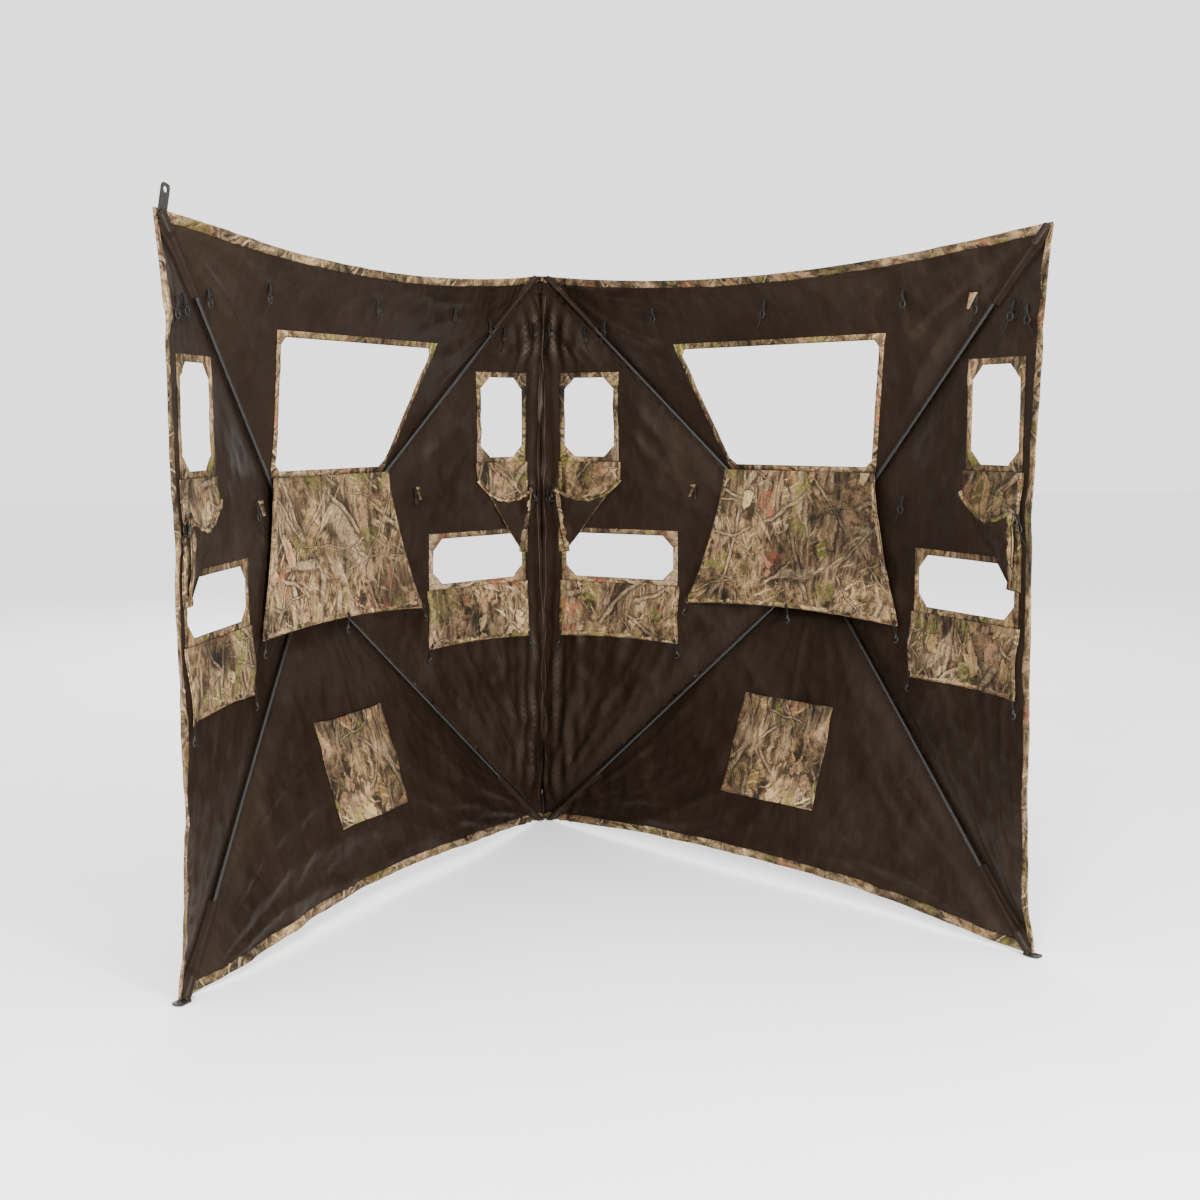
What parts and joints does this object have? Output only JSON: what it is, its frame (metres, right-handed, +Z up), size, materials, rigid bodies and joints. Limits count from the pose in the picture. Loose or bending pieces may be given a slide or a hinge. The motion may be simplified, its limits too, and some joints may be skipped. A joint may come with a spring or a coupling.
{
  "type": "pop up ground blind",
  "caption": "Pop-up hunting blind: square camouflage cloth walls on hub-and-pole frames, joined at an upright seam, with shooting windows and hinged flaps.",
  "frame": {"origin": "on the ground, at the foot of the upright seam between the two panels", "axes": "+Z up, +Y away from the user's side through the seam, +X to the user's right, across the two panels"},
  "size_m": [1.7614, 1.4099, 1.5475],
  "materials": {
    "camo": "matt printed polyester",
    "dark_cloth": "coated polyester",
    "fibreglass": "satin",
    "black_plastic": "matt",
    "steel": "brushed"
  },
  "bodies": {
    "seam": {"seam_cord": "dark_cloth", "seam_foot": "black_plastic", "left_seam_tape": "dark_cloth"},
    "right_seam": {"right_seam_tape": "dark_cloth"},
    "left_hub": {"left_hub_plate": "black_plastic", "left_hub_pins": "steel", "left_hub_cap": "black_plastic"},
    "left_top_inner_pole": {"left_top_inner_rod": "fibreglass", "left_top_inner_pole_ends": "black_plastic", "left_top_wall": "dark_cloth", "left_top_trim": "camo"},
    "left_top_outer_pole": {"left_top_outer_rod": "fibreglass", "left_top_outer_pole_ends": "black_plastic", "left_outer_wall": "dark_cloth", "left_outer_trim": "camo"},
    "left_bottom_outer_pole": {"left_bottom_outer_rod": "fibreglass", "left_bottom_outer_pole_ends": "black_plastic", "left_bottom_wall": "dark_cloth", "left_bottom_trim": "camo", "left_pocket": "camo"},
    "left_bottom_inner_pole": {"left_bottom_inner_rod": "fibreglass", "left_bottom_inner_pole_ends": "black_plastic", "left_inner_wall": "dark_cloth", "left_inner_trim": "camo"},
    "left_big_flap": {"left_big_flap": "camo"},
    "left_inner_wide_flap": {"left_inner_wide_flap": "camo"},
    "left_inner_tall_flap": {"left_inner_tall_flap": "camo"},
    "left_outer_wide_flap": {"left_outer_wide_flap": "camo"},
    "left_outer_tall_flap": {"left_outer_tall_flap": "camo"},
    "left_inner_flap_corner": {"left_inner_flap_corner": "camo"},
    "left_outer_flap_corner": {"left_outer_flap_corner": "camo"},
    "left_pull_loop": {"left_pull_loop": "dark_cloth"},
    "right_hub": {"right_hub_plate": "black_plastic", "right_hub_pins": "steel", "right_hub_cap": "black_plastic"},
    "right_top_inner_pole": {"right_top_inner_rod": "fibreglass", "right_top_inner_pole_ends": "black_plastic", "right_top_wall": "dark_cloth", "right_top_trim": "camo"},
    "right_top_outer_pole": {"right_top_outer_rod": "fibreglass", "right_top_outer_pole_ends": "black_plastic", "right_outer_wall": "dark_cloth", "right_outer_trim": "camo"},
    "right_bottom_outer_pole": {"right_bottom_outer_rod": "fibreglass", "right_bottom_outer_pole_ends": "black_plastic", "right_bottom_wall": "dark_cloth", "right_bottom_trim": "camo", "right_pocket": "camo"},
    "right_bottom_inner_pole": {"right_bottom_inner_rod": "fibreglass", "right_bottom_inner_pole_ends": "black_plastic", "right_inner_wall": "dark_cloth", "right_inner_trim": "camo"},
    "right_big_flap": {"right_big_flap": "camo"},
    "right_inner_wide_flap": {"right_inner_wide_flap": "camo"},
    "right_inner_tall_flap": {"right_inner_tall_flap": "camo"},
    "right_outer_wide_flap": {"right_outer_wide_flap": "camo"},
    "right_outer_tall_flap": {"right_outer_tall_flap": "camo"},
    "right_inner_flap_corner": {"right_inner_flap_corner": "camo"},
    "right_outer_flap_corner": {"right_outer_flap_corner": "camo"},
    "right_pull_loop": {"right_pull_loop": "dark_cloth"}
  },
  "joints": [
    {"name": "panel_swing", "type": "hinge", "parent": "seam", "child": "right_seam", "pos_m": [0, 0, 0], "axis": [0, 0, 1], "range_deg": [-26, 114.6]},
    {"name": "left_fold", "type": "slide", "parent": "seam", "child": "left_hub", "axis": [0.5402, 0.8415, 0], "range_m": [0, 0.71]},
    {"name": "left_top_inner_pole_fold", "type": "hinge", "parent": "left_hub", "child": "left_top_inner_pole", "pos_m": [-0.60838, -0.53188, 0.77318], "axis": [-0.3774, -0.5879, 0.7155], "range_deg": [0, 103.05], "deforming": ["left_top_wall", "left_top_trim", "left_big_flap"]},
    {"name": "left_top_outer_pole_fold", "type": "hinge", "parent": "left_hub", "child": "left_top_outer_pole", "pos_m": [-0.63439, -0.57215, 0.77276], "axis": [-0.3701, -0.5765, -0.7285], "range_deg": [0, 102.81], "deforming": ["left_outer_wall", "left_outer_trim", "left_outer_wide_flap", "left_outer_tall_flap", "left_outer_flap_corner"]},
    {"name": "left_bottom_outer_pole_fold", "type": "hinge", "parent": "left_hub", "child": "left_bottom_outer_pole", "pos_m": [-0.63439, -0.57215, 0.72724], "axis": [0.3701, 0.5765, -0.7285], "range_deg": [0, 102.81], "deforming": ["left_bottom_wall", "left_bottom_trim", "left_pocket"]},
    {"name": "left_bottom_inner_pole_fold", "type": "hinge", "parent": "left_hub", "child": "left_bottom_inner_pole", "pos_m": [-0.60838, -0.53188, 0.72682], "axis": [0.3774, 0.5879, 0.7155], "range_deg": [0, 103.05], "deforming": ["left_inner_wall", "left_inner_trim", "left_inner_wide_flap", "left_inner_tall_flap", "left_inner_flap_corner"]},
    {"name": "left_big_flap_hinge", "type": "hinge", "parent": "left_top_inner_pole", "child": "left_big_flap", "pos_m": [-0.55909, -0.59174, 0.986], "axis": [0.5402, 0.8415, 0], "range_deg": [-153, 0]},
    {"name": "left_inner_wide_flap_hinge", "type": "hinge", "parent": "left_bottom_inner_pole", "child": "left_inner_wide_flap", "pos_m": [-0.18765, -0.16596, 0.677], "axis": [0.7585, 0.6517, 0], "range_deg": [-176, 0], "deforming": ["left_inner_tall_flap", "left_inner_flap_corner"]},
    {"name": "left_inner_tall_flap_hinge", "type": "hinge", "parent": "left_bottom_inner_pole", "child": "left_inner_tall_flap", "pos_m": [-0.11838, -0.10645, 1.001], "axis": [0.7585, 0.6517, 0], "range_deg": [-176, 0]},
    {"name": "left_outer_wide_flap_hinge", "type": "hinge", "parent": "left_top_outer_pole", "child": "left_outer_wide_flap", "pos_m": [-0.7916, -1.10672, 0.677], "axis": [0.2768, 0.9609, 0], "range_deg": [-176, 0], "deforming": ["left_outer_tall_flap", "left_outer_flap_corner"]},
    {"name": "left_outer_tall_flap_hinge", "type": "hinge", "parent": "left_top_outer_pole", "child": "left_outer_tall_flap", "pos_m": [-0.81688, -1.19447, 1.001], "axis": [0.2768, 0.9609, 0], "range_deg": [-176, 0]},
    {"name": "left_inner_flap_unfold", "type": "hinge", "parent": "left_inner_tall_flap", "child": "left_inner_flap_corner", "pos_m": [-0.05869, -0.05714, 0.755], "axis": [-0.4969, -0.4269, 0.7555], "range_deg": [-180, 0]},
    {"name": "left_outer_flap_unfold", "type": "hinge", "parent": "left_outer_tall_flap", "child": "left_outer_flap_corner", "pos_m": [-0.83686, -1.26927, 0.755], "axis": [-0.1813, -0.6295, -0.7555], "range_deg": [-180, 0]},
    {"name": "left_pull_loop_swing", "type": "hinge", "parent": "left_hub", "child": "left_pull_loop", "pos_m": [-0.63878, -0.54058, 0.75], "axis": [-0.5402, -0.8415, 0], "range_deg": [-90, 0]},
    {"name": "right_fold", "type": "slide", "parent": "right_seam", "child": "right_hub", "axis": [-0.5402, 0.8415, 0], "range_m": [0, 0.71]},
    {"name": "right_top_inner_pole_fold", "type": "hinge", "parent": "right_hub", "child": "right_top_inner_pole", "pos_m": [0.60838, -0.53188, 0.77318], "axis": [-0.3774, 0.5879, -0.7155], "range_deg": [0, 103.05], "deforming": ["right_top_wall", "right_top_trim", "right_big_flap"]},
    {"name": "right_top_outer_pole_fold", "type": "hinge", "parent": "right_hub", "child": "right_top_outer_pole", "pos_m": [0.63439, -0.57215, 0.77276], "axis": [-0.3701, 0.5765, 0.7285], "range_deg": [0, 102.81], "deforming": ["right_outer_wall", "right_outer_trim", "right_outer_wide_flap", "right_outer_tall_flap", "right_outer_flap_corner"]},
    {"name": "right_bottom_outer_pole_fold", "type": "hinge", "parent": "right_hub", "child": "right_bottom_outer_pole", "pos_m": [0.63439, -0.57215, 0.72724], "axis": [0.3701, -0.5765, 0.7285], "range_deg": [0, 102.81], "deforming": ["right_bottom_wall", "right_bottom_trim", "right_pocket"]},
    {"name": "right_bottom_inner_pole_fold", "type": "hinge", "parent": "right_hub", "child": "right_bottom_inner_pole", "pos_m": [0.60838, -0.53188, 0.72682], "axis": [0.3774, -0.5879, -0.7155], "range_deg": [0, 103.05], "deforming": ["right_inner_wall", "right_inner_trim", "right_inner_wide_flap", "right_inner_tall_flap", "right_inner_flap_corner"]},
    {"name": "right_big_flap_hinge", "type": "hinge", "parent": "right_top_inner_pole", "child": "right_big_flap", "pos_m": [0.55909, -0.59174, 0.986], "axis": [0.5402, -0.8415, 0], "range_deg": [-153, 0]},
    {"name": "right_inner_wide_flap_hinge", "type": "hinge", "parent": "right_bottom_inner_pole", "child": "right_inner_wide_flap", "pos_m": [0.18765, -0.16596, 0.677], "axis": [0.7585, -0.6517, 0], "range_deg": [-176, 0], "deforming": ["right_inner_tall_flap", "right_inner_flap_corner"]},
    {"name": "right_inner_tall_flap_hinge", "type": "hinge", "parent": "right_bottom_inner_pole", "child": "right_inner_tall_flap", "pos_m": [0.11838, -0.10645, 1.001], "axis": [0.7585, -0.6517, 0], "range_deg": [-176, 0]},
    {"name": "right_outer_wide_flap_hinge", "type": "hinge", "parent": "right_top_outer_pole", "child": "right_outer_wide_flap", "pos_m": [0.7916, -1.10672, 0.677], "axis": [0.2768, -0.9609, 0], "range_deg": [-176, 0], "deforming": ["right_outer_tall_flap", "right_outer_flap_corner"]},
    {"name": "right_outer_tall_flap_hinge", "type": "hinge", "parent": "right_top_outer_pole", "child": "right_outer_tall_flap", "pos_m": [0.81688, -1.19447, 1.001], "axis": [0.2768, -0.9609, 0], "range_deg": [-176, 0]},
    {"name": "right_inner_flap_unfold", "type": "hinge", "parent": "right_inner_tall_flap", "child": "right_inner_flap_corner", "pos_m": [0.05869, -0.05714, 0.755], "axis": [-0.4969, 0.4269, -0.7555], "range_deg": [-180, 0]},
    {"name": "right_outer_flap_unfold", "type": "hinge", "parent": "right_outer_tall_flap", "child": "right_outer_flap_corner", "pos_m": [0.83686, -1.26927, 0.755], "axis": [-0.1813, 0.6295, 0.7555], "range_deg": [-180, 0]},
    {"name": "right_pull_loop_swing", "type": "hinge", "parent": "right_hub", "child": "right_pull_loop", "pos_m": [0.63878, -0.54058, 0.75], "axis": [-0.5402, 0.8415, 0], "range_deg": [-90, 0]}
  ],
  "couplings": [
    {"joint": "left_top_inner_pole_fold", "follows": "left_fold", "rad_per_m": 2.5209},
    {"joint": "left_top_outer_pole_fold", "follows": "left_fold", "rad_per_m": 2.5151},
    {"joint": "left_bottom_outer_pole_fold", "follows": "left_fold", "rad_per_m": 2.5151},
    {"joint": "left_bottom_inner_pole_fold", "follows": "left_fold", "rad_per_m": 2.5209},
    {"joint": "left_inner_flap_unfold", "follows": "left_inner_tall_flap_hinge", "ratio": 1.0114},
    {"joint": "left_outer_flap_unfold", "follows": "left_outer_tall_flap_hinge", "ratio": 1.0114},
    {"joint": "right_top_inner_pole_fold", "follows": "right_fold", "rad_per_m": 2.5209},
    {"joint": "right_top_outer_pole_fold", "follows": "right_fold", "rad_per_m": 2.5151},
    {"joint": "right_bottom_outer_pole_fold", "follows": "right_fold", "rad_per_m": 2.5151},
    {"joint": "right_bottom_inner_pole_fold", "follows": "right_fold", "rad_per_m": 2.5209},
    {"joint": "right_inner_flap_unfold", "follows": "right_inner_tall_flap_hinge", "ratio": 1.0114},
    {"joint": "right_outer_flap_unfold", "follows": "right_outer_tall_flap_hinge", "ratio": 1.0114}
  ]
}
